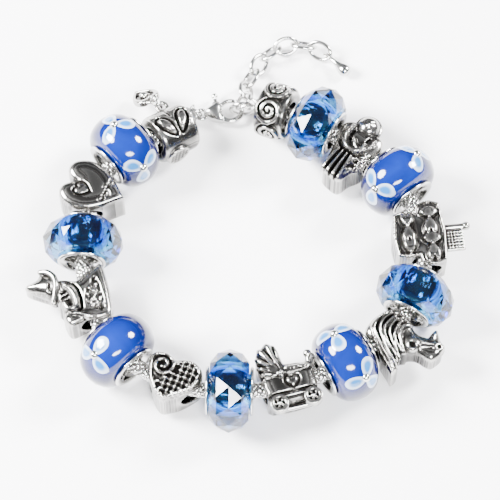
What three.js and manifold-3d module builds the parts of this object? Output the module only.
// A charm bracelet that lies closed on a table: seventeen slide-on beads on a round woven chain.
// Four beads are lampwork glass and four are cut crystal, all lined with flared metal cores.
// The others are cast charms. A spring clasp closes the loop on a ring that also carries a short
// extension chain with a drop. Millimetres, +Z up, origin on the table under the middle of the whole.
import * as THREE from "three";
import { ConvexGeometry } from "three/addons/geometries/ConvexGeometry.js";
import { mergeVertices } from "three/addons/utils/BufferGeometryUtils.js";
import Module from "manifold-3d";

const wasm = await Module();
wasm.setup();

// Finishes
const BRIGHT_SILVER = new THREE.MeshStandardMaterial({ color: 0xe6e6e4, roughness: 0.15, metalness: 1 });
const ANTIQUE_SILVER = new THREE.MeshStandardMaterial({ color: 0xa9a9a4, roughness: 0.3, metalness: 1 });
const BLUE_GLASS = new THREE.MeshStandardMaterial({ color: 0x1f4fc4, roughness: 0.05, metalness: 0 });
const BLUE_CRYSTAL = new THREE.MeshStandardMaterial({ color: 0x6fb4e6, roughness: 0.02, metalness: 0 });

// Woven chain
const CHAIN_RADIUS = 1.4;
const CHAIN_SIDES = 8;
const CHAIN_STEPS = 60;
const CHAIN_HEIGHT = 6.3;
const CHAIN_END_HEIGHT = 4.6;

// The line that the chain takes, from the clasp's end round to the extension's end
const CHAIN_ROUTE = [
  [-11.1, 26.3, 3.7],
  [-11.8, 24.5, 4.5],
  [-14.1, 22.6, 5.4],
  [-21.9, 18.3, CHAIN_HEIGHT],
  [-26.9, 10.0, CHAIN_HEIGHT],
  [-28.7, 0.3, CHAIN_HEIGHT],
  [-27.4, -10.0, CHAIN_HEIGHT],
  [-22.3, -19.4, CHAIN_HEIGHT],
  [-13.0, -25.0, CHAIN_HEIGHT],
  [-3.0, -26.6, CHAIN_HEIGHT],
  [7.4, -25.2, CHAIN_HEIGHT],
  [17.0, -20.8, CHAIN_HEIGHT],
  [24.6, -14.6, CHAIN_HEIGHT],
  [29.2, -6.4, CHAIN_HEIGHT],
  [29.6, 3.2, CHAIN_HEIGHT],
  [25.6, 12.4, CHAIN_HEIGHT],
  [18.2, 18.8, CHAIN_HEIGHT],
  [10.8, 23.9, 6.2],
  [5.3, 26.5, 5.3],
  [2.05, 27.9, CHAIN_END_HEIGHT],
];

// Bores and running gaps
const BORE = 2.45;
const BORE_SIDES = 14;
const GLASS_GAP = 0.15;
const HANG = 0.7;

// Flared metal cores of the glass beads
const CORE_WALL = 0.4;
const FLARE_RADIUS = 4.2;
const FLARE_DEPTH = 0.55;

// Glass beads
const CRYSTAL_RADIUS = 7.05;
const CRYSTAL_LENGTH = 8.0;
const CRYSTAL_FACETS = 12;
const LAMPWORK_RADIUS = 6.8;
const LAMPWORK_LENGTH = 9.0;
const LAMPWORK_SIDES = 16;

// Cast charms, length along the chain by height across it by thickness
const LEAF_BEAD = { length: 7.4, height: 8.6, thickness: 8.6, loop: 0.95 };
const PLAIN_HEART = { length: 9.4, height: 11.2, thickness: 8.0, inset: 3.4 };
const FIGURE = { length: 9.8, height: 13.6, thickness: 7.6 };
const WOVEN_HEART = { length: 9.6, height: 9.2, thickness: 8.6 };
const PRAM = { length: 11.4, height: 12.5, thickness: 7.6, wheel: 1.55 };
const HORSE = { length: 8.4, height: 12.6, thickness: 7.2 };
const MOTIF_BLOCK = { length: 10.8, height: 8.2, thickness: 8.2, flag: 4.2 };
const ANGEL = { length: 8.0, height: 13.3, thickness: 7.8 };
const DANGLE = { length: 5.6, width: 4.8, thickness: 1.1, loop: 0.9, ring: 1.35, wire: 0.26 };
const SCROLL_BEAD = { length: 5.8, radius: 4.5, scrolls: 6 };
const RELIEF = 0.5;

// Share of the chain's free length that lies before each bead, from the clasp's end round
const STRING = [
  { name: "leaf_bead", make: leafBead, length: LEAF_BEAD.length, share: 0.088 },
  { name: "lampwork_1", make: lampworkBead, length: LAMPWORK_LENGTH, share: 0.056, turn: 20 },
  { name: "plain_heart", make: plainHeart, length: PLAIN_HEART.length, share: 0.029 },
  { name: "crystal_1", make: crystalBead, length: CRYSTAL_LENGTH, share: 0.057 },
  { name: "hooded_figure", make: hoodedFigure, length: FIGURE.length, share: 0.099 },
  { name: "lampwork_2", make: lampworkBead, length: LAMPWORK_LENGTH, share: 0.091, turn: 200 },
  { name: "woven_heart", make: wovenHeart, length: WOVEN_HEART.length, share: 0.108 },
  { name: "crystal_2", make: crystalBead, length: CRYSTAL_LENGTH, share: 0.055 },
  { name: "pram", make: pram, length: PRAM.length, share: 0.016 },
  { name: "lampwork_3", make: lampworkBead, length: LAMPWORK_LENGTH, share: 0.011, turn: 100 },
  { name: "horse_head", make: horseHead, length: HORSE.length, share: 0.025 },
  { name: "crystal_3", make: crystalBead, length: CRYSTAL_LENGTH, share: 0.005 },
  { name: "motif_block", make: motifBlock, length: MOTIF_BLOCK.length, share: 0.113 },
  { name: "lampwork_4", make: lampworkBead, length: LAMPWORK_LENGTH, share: 0.108, turn: 300 },
  { name: "angel", make: angel, length: ANGEL.length, share: 0.064 },
  { name: "crystal_4", make: crystalBead, length: CRYSTAL_LENGTH, share: 0.022 },
  { name: "scroll_bead", make: scrollBead, length: SCROLL_BEAD.length, share: 0.044 },
];

// End caps, rings and extension
const CAP = { radius: 1.7, length: 0.75, gap: 0.1, neck: 0.35, loop: 0.95, wire: 0.3 };
const WIRE = 0.36;
const WIRE_SIDES = 6;
const RING_STEPS = 14;
const HOOK_RING = { radius: 2.1, wire: 0.36 };
const TAIL_RING = { radius: 1.2, wire: 0.3 };
const FLOOR_GAP = 0.06;
const LINK = { half_length: 2.1, half_width: 1.55, gap: 0.3, roll: 45, count: 8 };
const DROP = { length: 4.4, radius: 1.15, loop: 0.75 };

// The line of the extension chain's links, from the top of the hook ring to the drop
const EXTENSION_ROUTE = [
  [-1.3, 28.6, 4.4],
  [-0.9, 31.5, 2.9],
  [-0.3, 34.0, 1.7],
  [0.9, 36.8, 1.5],
  [2.6, 39.4, 1.5],
  [5.0, 41.3, 1.5],
  [8.2, 42.1, 1.5],
  [11.6, 41.4, 1.5],
  [14.3, 39.6, 1.5],
  [15.5, 37.2, 1.5],
  [16.4, 35.4, 1.5],
  [18.6, 33.4, 1.4],
];

// Middle of the leaf bead's bail, and the way that the dangle lies from it
const DANGLE_BAIL = [-15.75, 27.4, 6.1];
const DANGLE_TURN = 136;
const DANGLE_SLOPE = 25;

// Spring clasp, measured from the middle of its claw's hole
const CLASP = {
  at: [-3.5, 28.6],
  turn: 3,
  claw: 2.5,
  hole: 1.5,
  thickness: 2.9,
  claw_low: 1.05,
  claw_high: 2.35,
  tail: [-5.15, -0.25],
  tail_radius: 1.15,
  tail_hole: 0.7,
  tail_low: 0.85,
  tail_high: 1.85,
};
const LEVER = {
  pivot: [-2.5, 1.15],
  eye: 0.8,
  pin: 0.3,
  gap: 0.15,
  reach: 3.45,
  from: 40,
  to: 146,
  nose: 66,
  thumb: [-2.7, 3.1],
};

// Shortest edge kept where two solids are joined or cut
const FINEST_EDGE = 0.005;

// Geometry helpers

function solid(geometry) {
  const plain = geometry.index ? geometry.clone() : geometry;
  for (const name of Object.keys(plain.attributes)) {
    if (name !== "position") plain.deleteAttribute(name);
  }
  const merged = mergeVertices(plain, 1e-4);
  return new wasm.Manifold(
    new wasm.Mesh({
      numProp: 3,
      vertProperties: merged.attributes.position.array,
      triVerts: new Uint32Array(merged.index.array),
    }),
  );
}

function geometryOf(manifold) {
  const mesh = manifold.simplify(FINEST_EDGE).getMesh();
  const geometry = new THREE.BufferGeometry();
  geometry.setAttribute("position", new THREE.BufferAttribute(mesh.vertProperties, 3));
  geometry.setIndex(new THREE.BufferAttribute(mesh.triVerts, 1));
  return geometry;
}

function join(first, ...others) {
  return others.reduce((sum, next) => sum.add(next), first);
}

function mesh(name, shape, material) {
  const geometry = shape instanceof THREE.BufferGeometry ? shape : geometryOf(shape);
  const made = new THREE.Mesh(geometry, material);
  made.name = name;
  return made;
}

// A flat outline made into a slab whose faces lie at the two heights, with a chamfer all round
function slab(outline, low, high, chamfer = 0, curveSegments = 5) {
  const geometry = new THREE.ExtrudeGeometry(outline, {
    depth: high - low - 2 * chamfer,
    bevelEnabled: chamfer > 0,
    bevelThickness: chamfer,
    bevelSize: chamfer,
    bevelOffset: -chamfer,
    bevelSegments: 1,
    curveSegments,
  });
  return solid(geometry.translate(0, 0, low + chamfer));
}

// A solid of revolution about X from [along, radius] pairs that run round a closed section
function turned(profile, sides) {
  const points = profile.map(([along, radius]) => new THREE.Vector2(radius, along)).reverse();
  return new THREE.LatheGeometry([...points, points[0]], sides).rotateZ(-Math.PI / 2);
}

function cylinder(radius, from, to, sides = 14) {
  return solid(
    new THREE.CylinderGeometry(radius, radius, to - from, sides)
      .rotateZ(Math.PI / 2)
      .translate((from + to) / 2, 0, 0),
  );
}

// An upright disc, its axis along Z
function disc(radius, x, y, low, high, sides = 12) {
  return solid(
    new THREE.CylinderGeometry(radius, radius, high - low, sides)
      .rotateX(Math.PI / 2)
      .translate(x, y, (low + high) / 2),
  );
}

function ball(radius, x, y, z, squash = 1, sides = 10) {
  const geometry = new THREE.SphereGeometry(radius, sides, 6).scale(1, 1, squash);
  return solid(geometry.translate(x, y, z));
}

// A bore along X right through a cast charm
function bored(manifold, length) {
  return manifold.subtract(cylinder(BORE, -length, length, BORE_SIDES));
}

function outlineOf(points) {
  return new THREE.Shape(points.map(([x, y]) => new THREE.Vector2(x, y)));
}

// A heart, its point down, centred on its height
function heartOutline(width, height) {
  const half = width / 2;
  const shape = new THREE.Shape();
  shape.moveTo(0, -0.5 * height);
  shape.bezierCurveTo(0.4 * half, -0.3 * height, half, -0.12 * height, half, 0.17 * height);
  shape.bezierCurveTo(half, 0.55 * height, 0.16 * half, 0.62 * height, 0, 0.3 * height);
  shape.bezierCurveTo(-0.16 * half, 0.62 * height, -half, 0.55 * height, -half, 0.17 * height);
  shape.bezierCurveTo(-half, -0.12 * height, -0.4 * half, -0.3 * height, 0, -0.5 * height);
  return shape;
}

function moved(outline, x, y, turnDegrees = 0, scale = 1) {
  const turn = THREE.MathUtils.degToRad(turnDegrees);
  const points = outline.getPoints(4).map((point) => {
    const turned_x = point.x * Math.cos(turn) - point.y * Math.sin(turn);
    const turned_y = point.x * Math.sin(turn) + point.y * Math.cos(turn);
    return new THREE.Vector2(x + scale * turned_x, y + scale * turned_y);
  });
  return new THREE.Shape(points);
}

// Wire bent into a closed oval, its long way along X and its flat in the XY plane
function oval(halfLength, halfWidth, wire = WIRE, steps = RING_STEPS) {
  const ring = new THREE.TorusGeometry(1, wire, WIRE_SIDES, steps);
  const place = ring.attributes.position;
  for (let i = 0; i < place.count; i += 1) {
    const reach = Math.hypot(place.getX(i), place.getY(i));
    const x = ((halfLength + reach - 1) * place.getX(i)) / reach;
    const y = ((halfWidth + reach - 1) * place.getY(i)) / reach;
    place.setXY(i, x, y);
  }
  return ring;
}

// Lined glass beads

function coreProfile(length) {
  const half = length / 2;
  const outer = BORE + CORE_WALL;
  const mouth = BORE + 0.6 * (FLARE_RADIUS - BORE);
  const seat = half - FLARE_DEPTH;
  const side = [
    [seat - 0.9, BORE],
    [seat, BORE + 0.4 * CORE_WALL],
    [half, mouth],
    [half - 0.25, FLARE_RADIUS],
    [seat, FLARE_RADIUS - 0.25],
    [seat, outer],
  ];
  const mirrored = side.map(([along, radius]) => [-along, radius]).reverse();
  return [...side, ...mirrored];
}

function liner(name, length) {
  const core = turned(coreProfile(length), BORE_SIDES);
  return mesh(`${name}_core`, solid(core), BRIGHT_SILVER);
}

function crystalBead(name) {
  const seat = CRYSTAL_LENGTH / 2 - FLARE_DEPTH - GLASS_GAP;
  const rows = [
    { along: -1, radius: 0.72 },
    { along: -0.5, radius: 0.93 },
    { along: 0, radius: 1 },
    { along: 0.5, radius: 0.93 },
    { along: 1, radius: 0.72 },
  ];
  const points = rows.flatMap(({ along, radius }, row) =>
    Array.from({ length: CRYSTAL_FACETS }, (_, i) => {
      const angle = (2 * Math.PI * (i + 0.5 * (row % 2) + 0.5)) / CRYSTAL_FACETS;
      return new THREE.Vector3(
        seat * along,
        CRYSTAL_RADIUS * radius * Math.sin(angle),
        CRYSTAL_RADIUS * radius * Math.cos(angle),
      );
    }),
  );
  const hole = cylinder(BORE + CORE_WALL + GLASS_GAP, -CRYSTAL_LENGTH, CRYSTAL_LENGTH, BORE_SIDES);
  const glass = solid(new ConvexGeometry(points)).subtract(hole);
  return {
    pieces: [mesh(`${name}_glass`, glass, BLUE_CRYSTAL), liner(name, CRYSTAL_LENGTH)],
    centre: CRYSTAL_RADIUS * Math.cos(Math.PI / CRYSTAL_FACETS),
  };
}

function lampworkBead(name) {
  const seat = LAMPWORK_LENGTH / 2 - FLARE_DEPTH - GLASS_GAP;
  const inner = BORE + CORE_WALL + GLASS_GAP;
  const crown = [
    [1, 0.7],
    [0.78, 0.87],
    [0.42, 0.97],
    [0, 1],
    [-0.42, 0.97],
    [-0.78, 0.87],
    [-1, 0.7],
  ].map(([along, radius]) => [along * seat, radius * LAMPWORK_RADIUS]);
  const glass = solid(turned([[-seat, inner], [seat, inner], ...crown], LAMPWORK_SIDES));
  return {
    pieces: [mesh(`${name}_glass`, glass, BLUE_GLASS), liner(name, LAMPWORK_LENGTH)],
    centre: LAMPWORK_RADIUS,
  };
}

// Cast charms. Each lies on its back, its bore along X, and +Y is towards the inside of the loop.

function leafBead(name) {
  const { length, height, thickness, loop } = LEAF_BEAD;
  const half = length / 2;
  const section = new THREE.Shape();
  section.absellipse(0, 0, height / 2, thickness / 2, 0, 2 * Math.PI);
  const barrel = new THREE.ExtrudeGeometry(section, {
    depth: length - 1.4,
    bevelEnabled: true,
    bevelThickness: 0.7,
    bevelSize: 0.7,
    bevelOffset: -0.7,
    bevelSegments: 1,
    curveSegments: 6,
  });
  const body = solid(barrel.translate(0, 0, 0.7 - half).rotateX(Math.PI / 2).rotateZ(Math.PI / 2));
  const leaves = [-1, 1].map((side) => {
    const leaf = ball(1.0, 0, 0, 0, 0.6).scale([1.5, 1, 1]);
    return leaf.rotate([0, 0, 55 * side]).translate([side * 1.5, 0.4, thickness / 2]);
  });
  const panel = disc(2.4, 0, 0, 0, 0.5).rotate([-90, 0, 0]).translate([0.6, height / 2 - 0.3, 0]);
  const bail = solid(oval(loop, loop)).translate([-1.3, -height / 2 - 0.6 * loop, 0.8]);
  const cast = bored(join(body, ...leaves, panel), length).add(bail);
  return { pieces: [mesh(name, cast, ANTIQUE_SILVER)] };
}

function plainHeart(name) {
  const { length, height, thickness, inset } = PLAIN_HEART;
  const top = thickness / 2;
  const body = slab(moved(heartOutline(length, height), 0, 0, 180), -top, top, 0.7, 6);
  const pillow = slab(moved(heartOutline(inset, inset), -1.9, -2.2, 180), top - 0.1, top + 0.3);
  const bead = ball(0.55, 0, -0.32 * height, top);
  return { pieces: [mesh(name, join(bored(body, length), pillow, bead), ANTIQUE_SILVER)] };
}

function hoodedFigure(name) {
  const { length, height, thickness } = FIGURE;
  const top = thickness / 2;
  const place = (points) => outlineOf(points.map(([x, y]) => [x * length, y * height]));
  const gown = place([
    [-0.37, 0],
    [-0.48, 0.17],
    [-0.5, 0.27],
    [-0.22, 0.28],
    [0.16, 0.26],
    [0.46, 0.21],
    [0.5, 0.05],
    [0.48, -0.31],
    [0.3, -0.37],
    [0.1, -0.36],
    [-0.01, -0.39],
    [-0.4, -0.32],
    [-0.32, -0.1],
  ]);
  const hood = place([
    [-0.59, -0.72],
    [-0.66, -0.58],
    [-0.7, -0.48],
    [-0.56, -0.33],
    [-0.36, -0.32],
    [-0.14, -0.38],
    [-0.17, -0.46],
    [-0.36, -0.58],
    [-0.5, -0.67],
  ]);
  const brim = place([
    [-0.73, -0.47],
    [-0.68, -0.36],
    [-0.51, -0.27],
    [-0.27, -0.3],
    [-0.03, -0.4],
    [-0.06, -0.46],
    [-0.26, -0.375],
    [-0.48, -0.34],
    [-0.61, -0.4],
    [-0.68, -0.48],
  ]);
  const parts = [
    slab(hood, -0.6 * top, 0.7 * top, 0.5),
    slab(brim, -0.75 * top, 0.95 * top, 0.2),
    slab(moved(heartOutline(3.2, 3.4), 0.2 * length, 0.02 * height, 180), top - 0.1, top + 0.3),
    disc(1.1, -0.16 * length, -0.24 * height, 0, top + RELIEF, 8),
  ];
  const cast = bored(join(slab(gown, -top, top, 0.5), ...parts), length);
  return { pieces: [mesh(name, cast, ANTIQUE_SILVER)] };
}

function wovenHeart(name) {
  const { length, height, thickness } = WOVEN_HEART;
  const top = thickness / 2;
  const body = slab(moved(heartOutline(length, height), 0, 0.03 * height), -top, top, 0.6, 6);
  const weave = [];
  const pitch = 1.5;
  for (let row = 0; row < 4; row += 1) {
    for (let column = 0; column < 4; column += 1) {
      const x = (column - 1.2 + 0.5 * (row % 2)) * pitch;
      const y = (1.4 - row) * pitch;
      const inside = Math.abs(x) < 0.4 * length - 0.9 * row && !(x < 0.4 && row === 0);
      if (inside) weave.push(ball(0.72, x, y, top, 0.6, 6));
    }
  }
  const scroll = disc(1.9, -2.3, 1.7, top - 0.2, top + 0.45, 12);
  const eye = disc(0.9, -2.3, 1.7, top + 0.05, top + 1, 8);
  const cast = bored(join(body, scroll.subtract(eye), ...weave), length);
  return { pieces: [mesh(name, cast, ANTIQUE_SILVER)] };
}

function pram(name) {
  const { length, height, thickness, wheel } = PRAM;
  const top = thickness / 2;
  const place = (points) => outlineOf(points.map(([x, y]) => [x * length, y * height]));
  const basket = place([
    [-0.37, 0.12],
    [-0.36, -0.13],
    [-0.29, -0.26],
    [0.31, -0.26],
    [0.4, -0.16],
    [0.42, 0],
    [0.42, 0.21],
    [0.36, 0.23],
    [-0.04, 0.27],
  ]);
  const hood = place([
    [-0.03, 0.03],
    [-0.03, 0.38],
    [-0.06, 0.53],
    [-0.1, 0.58],
    [-0.21, 0.59],
    [-0.33, 0.52],
    [-0.38, 0.44],
    [-0.4, 0.34],
    [-0.4, 0.18],
    [-0.35, 0.1],
  ]);
  const parts = [slab(hood, -top, top, 0.5)];
  for (const x of [-0.22 * length, 0.29 * length]) {
    parts.push(disc(wheel, x, -0.3 * height, -top - 0.3, -top + 0.8, 12));
    parts.push(disc(wheel, x, -0.3 * height, top - 0.8, top + 0.3, 12));
  }
  parts.push(disc(0.7, 0.37 * length, 0.32 * height, -0.8 * top, 0.9 * top, 8));
  parts.push(slab(place([[0.32, 0.15], [0.41, 0.15], [0.4, 0.31], [0.33, 0.31]]), -0.8 * top, 0.9 * top));
  parts.push(ball(0.6, -0.12 * length, 0.08 * height, top, 0.8, 8));
  parts.push(slab(moved(heartOutline(2, 2), 0.06 * length, -0.11 * height), top - 0.1, top + 0.35));
  const cast = bored(join(slab(basket, -top, top, 0.4), ...parts), length);
  return { pieces: [mesh(name, cast, ANTIQUE_SILVER)] };
}

function horseHead(name) {
  const { length, height, thickness } = HORSE;
  const top = thickness / 2;
  const place = (points) => outlineOf(points.map(([x, y]) => [x * length, y * height]));
  const mane = place([
    [0.48, -0.03],
    [0.42, 0.12],
    [0.27, 0.22],
    [0.07, 0.25],
    [-0.14, 0.25],
    [-0.32, 0.22],
    [-0.42, 0.12],
    [-0.46, -0.08],
    [-0.56, -0.25],
    [-0.62, -0.4],
    [-0.66, -0.5],
    [-0.5, -0.5],
    [-0.39, -0.44],
    [-0.22, -0.37],
    [-0.08, -0.42],
    [0.05, -0.3],
    [0.3, -0.36],
    [0.38, -0.22],
    [0.46, -0.17],
  ]);
  const muzzle = place([
    [-0.1, -0.25],
    [-0.1, -0.4],
    [0, -0.48],
    [0.05, -0.55],
    [0.08, -0.64],
    [0.14, -0.72],
    [0.28, -0.75],
    [0.43, -0.74],
    [0.53, -0.67],
    [0.57, -0.58],
    [0.66, -0.52],
    [0.7, -0.46],
    [0.63, -0.44],
    [0.42, -0.46],
    [0.34, -0.36],
    [0.32, -0.25],
  ]);
  const eye = disc(0.6, 0.08 * length, -0.38 * height, top - 0.9, top + 1, 10);
  const nostril = disc(0.45, 0.42 * length, -0.65 * height, top - 1.6, top + 1, 8);
  const body = join(slab(mane, -top, top, 0.5), slab(muzzle, -0.65 * top, 0.8 * top, 0.4));
  const cast = bored(body.subtract(eye).subtract(nostril), length);
  return { pieces: [mesh(name, cast, ANTIQUE_SILVER)] };
}

function motifBlock(name) {
  const { length, height, thickness, flag } = MOTIF_BLOCK;
  const top = thickness / 2;
  const place = (points) => outlineOf(points.map(([x, y]) => [x * length, y * height]));
  const body = place([
    [-0.5, -0.4],
    [0.5, -0.4],
    [0.5, 0.1],
    [0.37, 0.14],
    [0.36, 0.6],
    [-0.36, 0.6],
    [-0.37, 0.14],
    [-0.5, 0.1],
  ]);
  const parts = [slab(body, -top, top, 0.35)];
  for (const x of [-0.36, -0.12, 0.12, 0.36]) {
    const heart = moved(heartOutline(2.3, 2.9), x * length, -0.14 * height, 90);
    parts.push(slab(heart, top - 0.1, top + 0.35, 0, 3));
  }
  for (const x of [-0.23, 0, 0.23]) {
    const heart = moved(heartOutline(2.2, 2.7), x * length, 0.36 * height, -90);
    parts.push(slab(heart, top - 0.1, top + 0.35, 0, 3));
  }
  const edge = -0.4 * height;
  const plate = slab(
    outlineOf([
      [-0.28 * length, edge - 0.88 * flag],
      [0.1 * length, edge - 0.88 * flag],
      [0.1 * length, edge + 0.1],
      [-0.28 * length, edge + 0.1],
    ]),
    0.4,
    1.7,
    0.15,
  );
  const pole = cylinder(0.55, 0, flag + 0.9, 8).rotate([0, 0, -90]);
  const tag = join(plate, pole.translate([0.13 * length, edge + 0.2, 1.05]));
  return { pieces: [mesh(name, bored(join(...parts), length).add(tag), ANTIQUE_SILVER)] };
}

function angel(name) {
  const { length, height, thickness } = ANGEL;
  const top = thickness / 2;
  const place = (points) => outlineOf(points.map(([x, y]) => [x * length, y * height]));
  const robe = place([
    [0.36, -0.24],
    [0.42, 0.05],
    [0.34, 0.3],
    [0.26, 0.5],
    [0.12, 0.56],
    [-0.2, 0.56],
    [-0.3, 0.38],
    [-0.44, 0.22],
    [-0.44, 0],
    [-0.4, -0.24],
    [-0.12, -0.27],
    [0.12, -0.27],
  ]);
  const parts = [ball(0.14 * height, -0.06 * length, -0.3 * height, 0.5 * top, 0.85, 12)];
  parts.push(disc(0.16 * height, -0.06 * length, -0.3 * height, -0.7 * top, 0.3 * top, 12));
  for (const side of [-1, 1]) {
    const wing = new THREE.Shape();
    wing.absellipse(side * 0.36 * length, -0.1 * height, 0.15 * length, 0.16 * height, 0, 2 * Math.PI);
    parts.push(slab(wing, -0.7 * top, 0.9 * top, 0.25, 4));
  }
  const cast = bored(join(slab(robe, -top, top, 0.6), ...parts), length);
  return { pieces: [mesh(name, cast, ANTIQUE_SILVER)] };
}

function scrollBead(name) {
  const { length, radius, scrolls } = SCROLL_BEAD;
  const half = length / 2;
  const barrel = solid(
    turned(
      [
        [-half, BORE],
        [half, BORE],
        [half, radius - 0.5],
        [half - 0.5, radius],
        [0.5 - half, radius],
        [-half, radius - 0.5],
      ],
      BORE_SIDES,
    ),
  );
  const boss = (i) => {
    const raised = disc(0.46 * length, 0, 0, radius - 0.8, radius + 0.35, 10);
    return raised.subtract(ball(0.5, 0, 0, radius + 0.5, 1, 8)).rotate([(i * 360) / scrolls, 0, 0]);
  };
  const bosses = Array.from({ length: scrolls }, (_, i) => boss(i + 0.5));
  return { pieces: [mesh(name, join(barrel, ...bosses), ANTIQUE_SILVER)] };
}

// The chain and what is strung on it

const route = new THREE.CatmullRomCurve3(
  CHAIN_ROUTE.map((point) => new THREE.Vector3(...point)),
  false,
  "centripetal",
);
route.arcLengthDivisions = 1000;
const bracelet = new THREE.Group();

function chainTube() {
  const section = new THREE.Shape();
  section.absarc(0, 0, CHAIN_RADIUS, 0, 2 * Math.PI);
  const tube = new THREE.ExtrudeGeometry(section, {
    steps: CHAIN_STEPS,
    extrudePath: route,
    curveSegments: CHAIN_SIDES / 2,
    bevelEnabled: false,
  });
  return mesh("woven_chain", tube, BRIGHT_SILVER);
}

// A group whose X axis runs along the direction, with its Z axis as near upright as it can be
function frameAt(point, direction) {
  const group = new THREE.Group();
  const level = Math.hypot(direction.x, direction.y);
  group.position.copy(point);
  group.rotation.set(0, -Math.atan2(direction.z, level), Math.atan2(direction.y, direction.x), "ZYX");
  return group;
}

function thread() {
  const whole = route.getLength();
  const spare = whole - STRING.reduce((sum, bead) => sum + bead.length, 0);
  let along = 0;
  for (const bead of STRING) {
    along += bead.share * spare + bead.length / 2;
    const at = along / whole;
    const point = route.getPointAt(at);
    const { pieces, centre } = bead.make(bead.name);
    const frame = frameAt(point, route.getTangentAt(at));
    if (centre) {
      frame.position.z = centre;
      frame.rotation.y = 0;
    } else {
      frame.position.z -= HANG;
    }
    frame.add(...pieces);
    const lowest = new THREE.Box3().setFromObject(frame, true).min.z;
    if (!centre && lowest < FLOOR_GAP) frame.position.z += FLOOR_GAP - lowest;
    bracelet.add(frame);
    along += bead.length / 2;
  }
}

function endCap(name, end, turn) {
  const point = route.getPointAt(end);
  const tangent = route.getTangentAt(end).multiplyScalar(end ? 1 : -1);
  const frame = frameAt(point, tangent);
  const face = CAP.gap + CAP.length;
  const reach = face + CAP.neck + CAP.loop;
  const cup = cylinder(CAP.radius, CAP.gap, face, 12);
  const neck = cylinder(1.6 * CAP.wire, CAP.length, face + CAP.neck, 7);
  const loop = solid(oval(CAP.loop, CAP.loop, CAP.wire)).rotate([turn, 0, 0]);
  frame.add(mesh(name, join(cup, neck, loop.translate([reach, 0, 0])), BRIGHT_SILVER));
  bracelet.add(frame);
}

// The clasp lies flat on the table with its nose through the hook ring

function sector(inner, outer, fromDegrees, toDegrees) {
  const from = THREE.MathUtils.degToRad(fromDegrees);
  const to = THREE.MathUtils.degToRad(toDegrees);
  const shape = new THREE.Shape();
  shape.absarc(0, 0, outer, from, to, false);
  shape.absarc(0, 0, inner, to, from, true);
  return shape;
}

function claspBody() {
  const { claw, hole, thickness, claw_low, claw_high, tail, tail_radius, tail_hole } = CLASP;
  const { pivot, eye, pin, gap, reach, from, to, nose, thumb } = LEVER;
  const ring = slab(sector(hole, claw, 120 - 360, nose), claw_low, claw_high, 0.25, 12);
  const shoulder = outlineOf([
    [-1.6, -2.1],
    [-1.75, 0],
    [-1.5, 0.75],
    [-1.75, 2.1],
    [-2.9, 1.85],
    [-4.3, 0.85],
    [-4.7, -0.2],
    [-4.1, -1.15],
    [-2.8, -1.9],
  ]);
  const solidBody = slab(shoulder, 0, thickness, 0.35);
  const middle = slab(sector(0.01, claw, 150, 250), claw_low, claw_high, 0, 6);
  const neck = disc(tail_radius, ...tail, CLASP.tail_low, CLASP.tail_high, 14);
  const claws = ring.add(middle.subtract(disc(hole, 0, 0, 0, thickness, 18)));
  const whole = join(claws, solidBody.subtract(disc(hole, 0, 0, -1, thickness + 1, 18)), neck);
  const low = claw_low;
  const high = claw_high;
  const slot = join(
    disc(eye + gap, ...pivot, low, high, 14),
    slab(sector(hole - 0.6, claw + 0.6, from, to), low - 0.5, high + 0.5, 0, 8).intersect(
      disc(reach + gap, ...pivot, low - 0.5, high + 0.5, 48),
    ),
    slab(
      outlineOf([
        [thumb[0] - 0.7, pivot[1]],
        [pivot[0], pivot[1] - eye],
        [pivot[0] + 1.7, pivot[1] - eye],
        [pivot[0] + 1.7, thumb[1] + 0.5],
        [thumb[0] - 0.7, thumb[1] + 0.5],
      ]),
      low,
      high,
    ),
  );
  const rivet = disc(pin, ...pivot, low - 0.3, high + 0.3, 10);
  return whole.subtract(slot).subtract(disc(tail_hole, ...tail, -1, thickness, 14)).add(rivet);
}

function claspLever() {
  const { claw, hole, claw_low, claw_high } = CLASP;
  const { pivot, eye, pin, gap, reach, from, to, thumb } = LEVER;
  const low = claw_low + gap;
  const high = claw_high - gap;
  const arc = slab(sector(hole + 0.1, claw - 0.1, from, to), low, high, 0.15, 8);
  const gate = arc.intersect(disc(reach, ...pivot, low, high, 48));
  const knuckle = disc(eye, ...pivot, low, high, 14);
  const stem = slab(
    outlineOf([
      [pivot[0] - 0.45, pivot[1]],
      [pivot[0] + 0.35, pivot[1]],
      [thumb[0] + 0.4, thumb[1]],
      [thumb[0] - 0.35, thumb[1]],
    ]),
    low,
    high,
  );
  const knob = ball(0.6, ...thumb, (low + high) / 2, 1, 8);
  return join(gate, knuckle, stem, knob).subtract(disc(pin + gap, ...pivot, 0, 2 * high, 10));
}

function clasp() {
  const frame = new THREE.Group();
  frame.position.set(...CLASP.at, 0);
  frame.rotation.z = THREE.MathUtils.degToRad(CLASP.turn);
  frame.add(mesh("clasp_body", claspBody(), BRIGHT_SILVER));
  frame.add(mesh("clasp_lever", claspLever(), BRIGHT_SILVER));
  bracelet.add(frame);
}

// An upright ring of wire that stands on the table, turned about the vertical
function standingRing(name, { radius, wire }, x, y, turnDegrees) {
  const ring = mesh(name, solid(oval(radius, radius, wire)), BRIGHT_SILVER);
  ring.rotation.set(Math.PI / 2, 0, 0);
  const frame = new THREE.Group();
  frame.position.set(x, y, radius + wire + FLOOR_GAP);
  frame.rotation.z = THREE.MathUtils.degToRad(turnDegrees);
  frame.add(ring);
  bracelet.add(frame);
}

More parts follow.
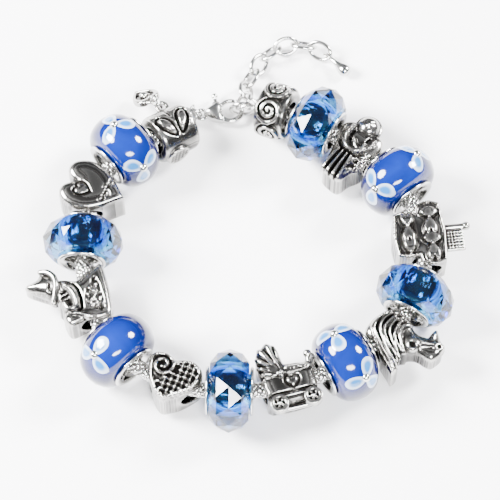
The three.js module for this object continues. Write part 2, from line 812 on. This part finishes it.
// A small heart that hangs from the leaf bead's bail on a ring of its own
function dangle() {
  const { length, width, thickness, loop, ring, wire } = DANGLE;
  const [x, y, z] = DANGLE_BAIL;
  const turn = THREE.MathUtils.degToRad(DANGLE_TURN);
  const slope = THREE.MathUtils.degToRad(DANGLE_SLOPE);
  const out = ring * Math.cos(slope);
  const down = ring * Math.sin(slope);
  const link = new THREE.Group();
  link.position.set(x + out * Math.cos(turn), y + out * Math.sin(turn), z - down);
  link.rotation.z = turn;
  const wireRing = mesh("dangle_ring", solid(oval(ring, ring, wire)), ANTIQUE_SILVER);
  wireRing.rotation.x = Math.PI / 2;
  link.add(wireRing);
  const middle = 0.3 * length + loop;
  const plate = slab(moved(heartOutline(width, length), middle, 0, 90), -thickness / 2, thickness / 2, 0.3);
  const inner = slab(moved(heartOutline(width, length), middle, 0, 90, 0.6), 0, thickness);
  const pip = ball(0.75, middle - 0.3, 0, 0.2 * thickness, 0.8, 8);
  const eye = solid(oval(loop, loop, wire));
  const heart = join(plate.subtract(inner), pip, eye);
  const frame = new THREE.Group();
  frame.position.set(x + 2 * out * Math.cos(turn), y + 2 * out * Math.sin(turn), z - 2 * down);
  const droop = Math.asin((frame.position.z - 1) / (length + loop));
  frame.rotation.set(THREE.MathUtils.degToRad(12), droop, turn, "ZYX");
  frame.add(mesh("dangle_heart", heart, ANTIQUE_SILVER));
  bracelet.add(link, frame);
}

function extension() {
  const line = new THREE.CatmullRomCurve3(EXTENSION_ROUTE.map((point) => new THREE.Vector3(...point)));
  const whole = line.getLength();
  const pitch = 2 * LINK.half_length - 2 * WIRE - LINK.gap;
  let along = LINK.half_length - 2 * WIRE - LINK.gap;
  for (let i = 0; i < LINK.count; i += 1) {
    const wire = solid(oval(LINK.half_length, LINK.half_width));
    const link = mesh(`extension_link_${i + 1}`, wire, BRIGHT_SILVER);
    link.rotation.x = THREE.MathUtils.degToRad(i % 2 ? LINK.roll : -LINK.roll);
    const frame = frameAt(line.getPointAt(along / whole), line.getTangentAt(along / whole));
    frame.add(link);
    bracelet.add(frame);
    along += pitch;
  }
  const at = (along - LINK.half_length + DROP.loop) / whole;
  const frame = frameAt(line.getPointAt(at), line.getTangentAt(at));
  const profile = [
    [DROP.loop + DROP.length, 0],
    [DROP.loop + 0.93 * DROP.length, 0.55 * DROP.radius],
    [DROP.loop + 0.76 * DROP.length, DROP.radius],
    [DROP.loop + 0.5 * DROP.length, 0.72 * DROP.radius],
    [DROP.loop + 0.2 * DROP.length, 0.36 * DROP.radius],
    [DROP.loop - 0.1, 0.32 * DROP.radius],
    [DROP.loop - 0.1, 0],
  ];
  const points = profile.map(([x, r]) => new THREE.Vector2(r, x)).reverse();
  const tear = solid(new THREE.LatheGeometry(points, 12).rotateZ(-Math.PI / 2));
  const eye = solid(oval(DROP.loop, DROP.loop, 0.25)).rotate([LINK.count % 2 ? 45 : -45, 0, 0]);
  frame.add(mesh("extension_drop", tear.add(eye), BRIGHT_SILVER));
  bracelet.add(frame);
}

bracelet.add(chainTube());
thread();
endCap("clasp_end_cap", 0, 90);
endCap("extension_end_cap", 1, -20);
clasp();
dangle();
standingRing("tail_ring", TAIL_RING, -9.9, 28.25, 162);
standingRing("hook_ring", HOOK_RING, -1.3, 28.6, 0);
extension();

const around = new THREE.Box3().setFromObject(bracelet, true);
const middle = around.getCenter(new THREE.Vector3());
bracelet.position.set(-middle.x, -middle.y, -around.min.z);

export default bracelet;
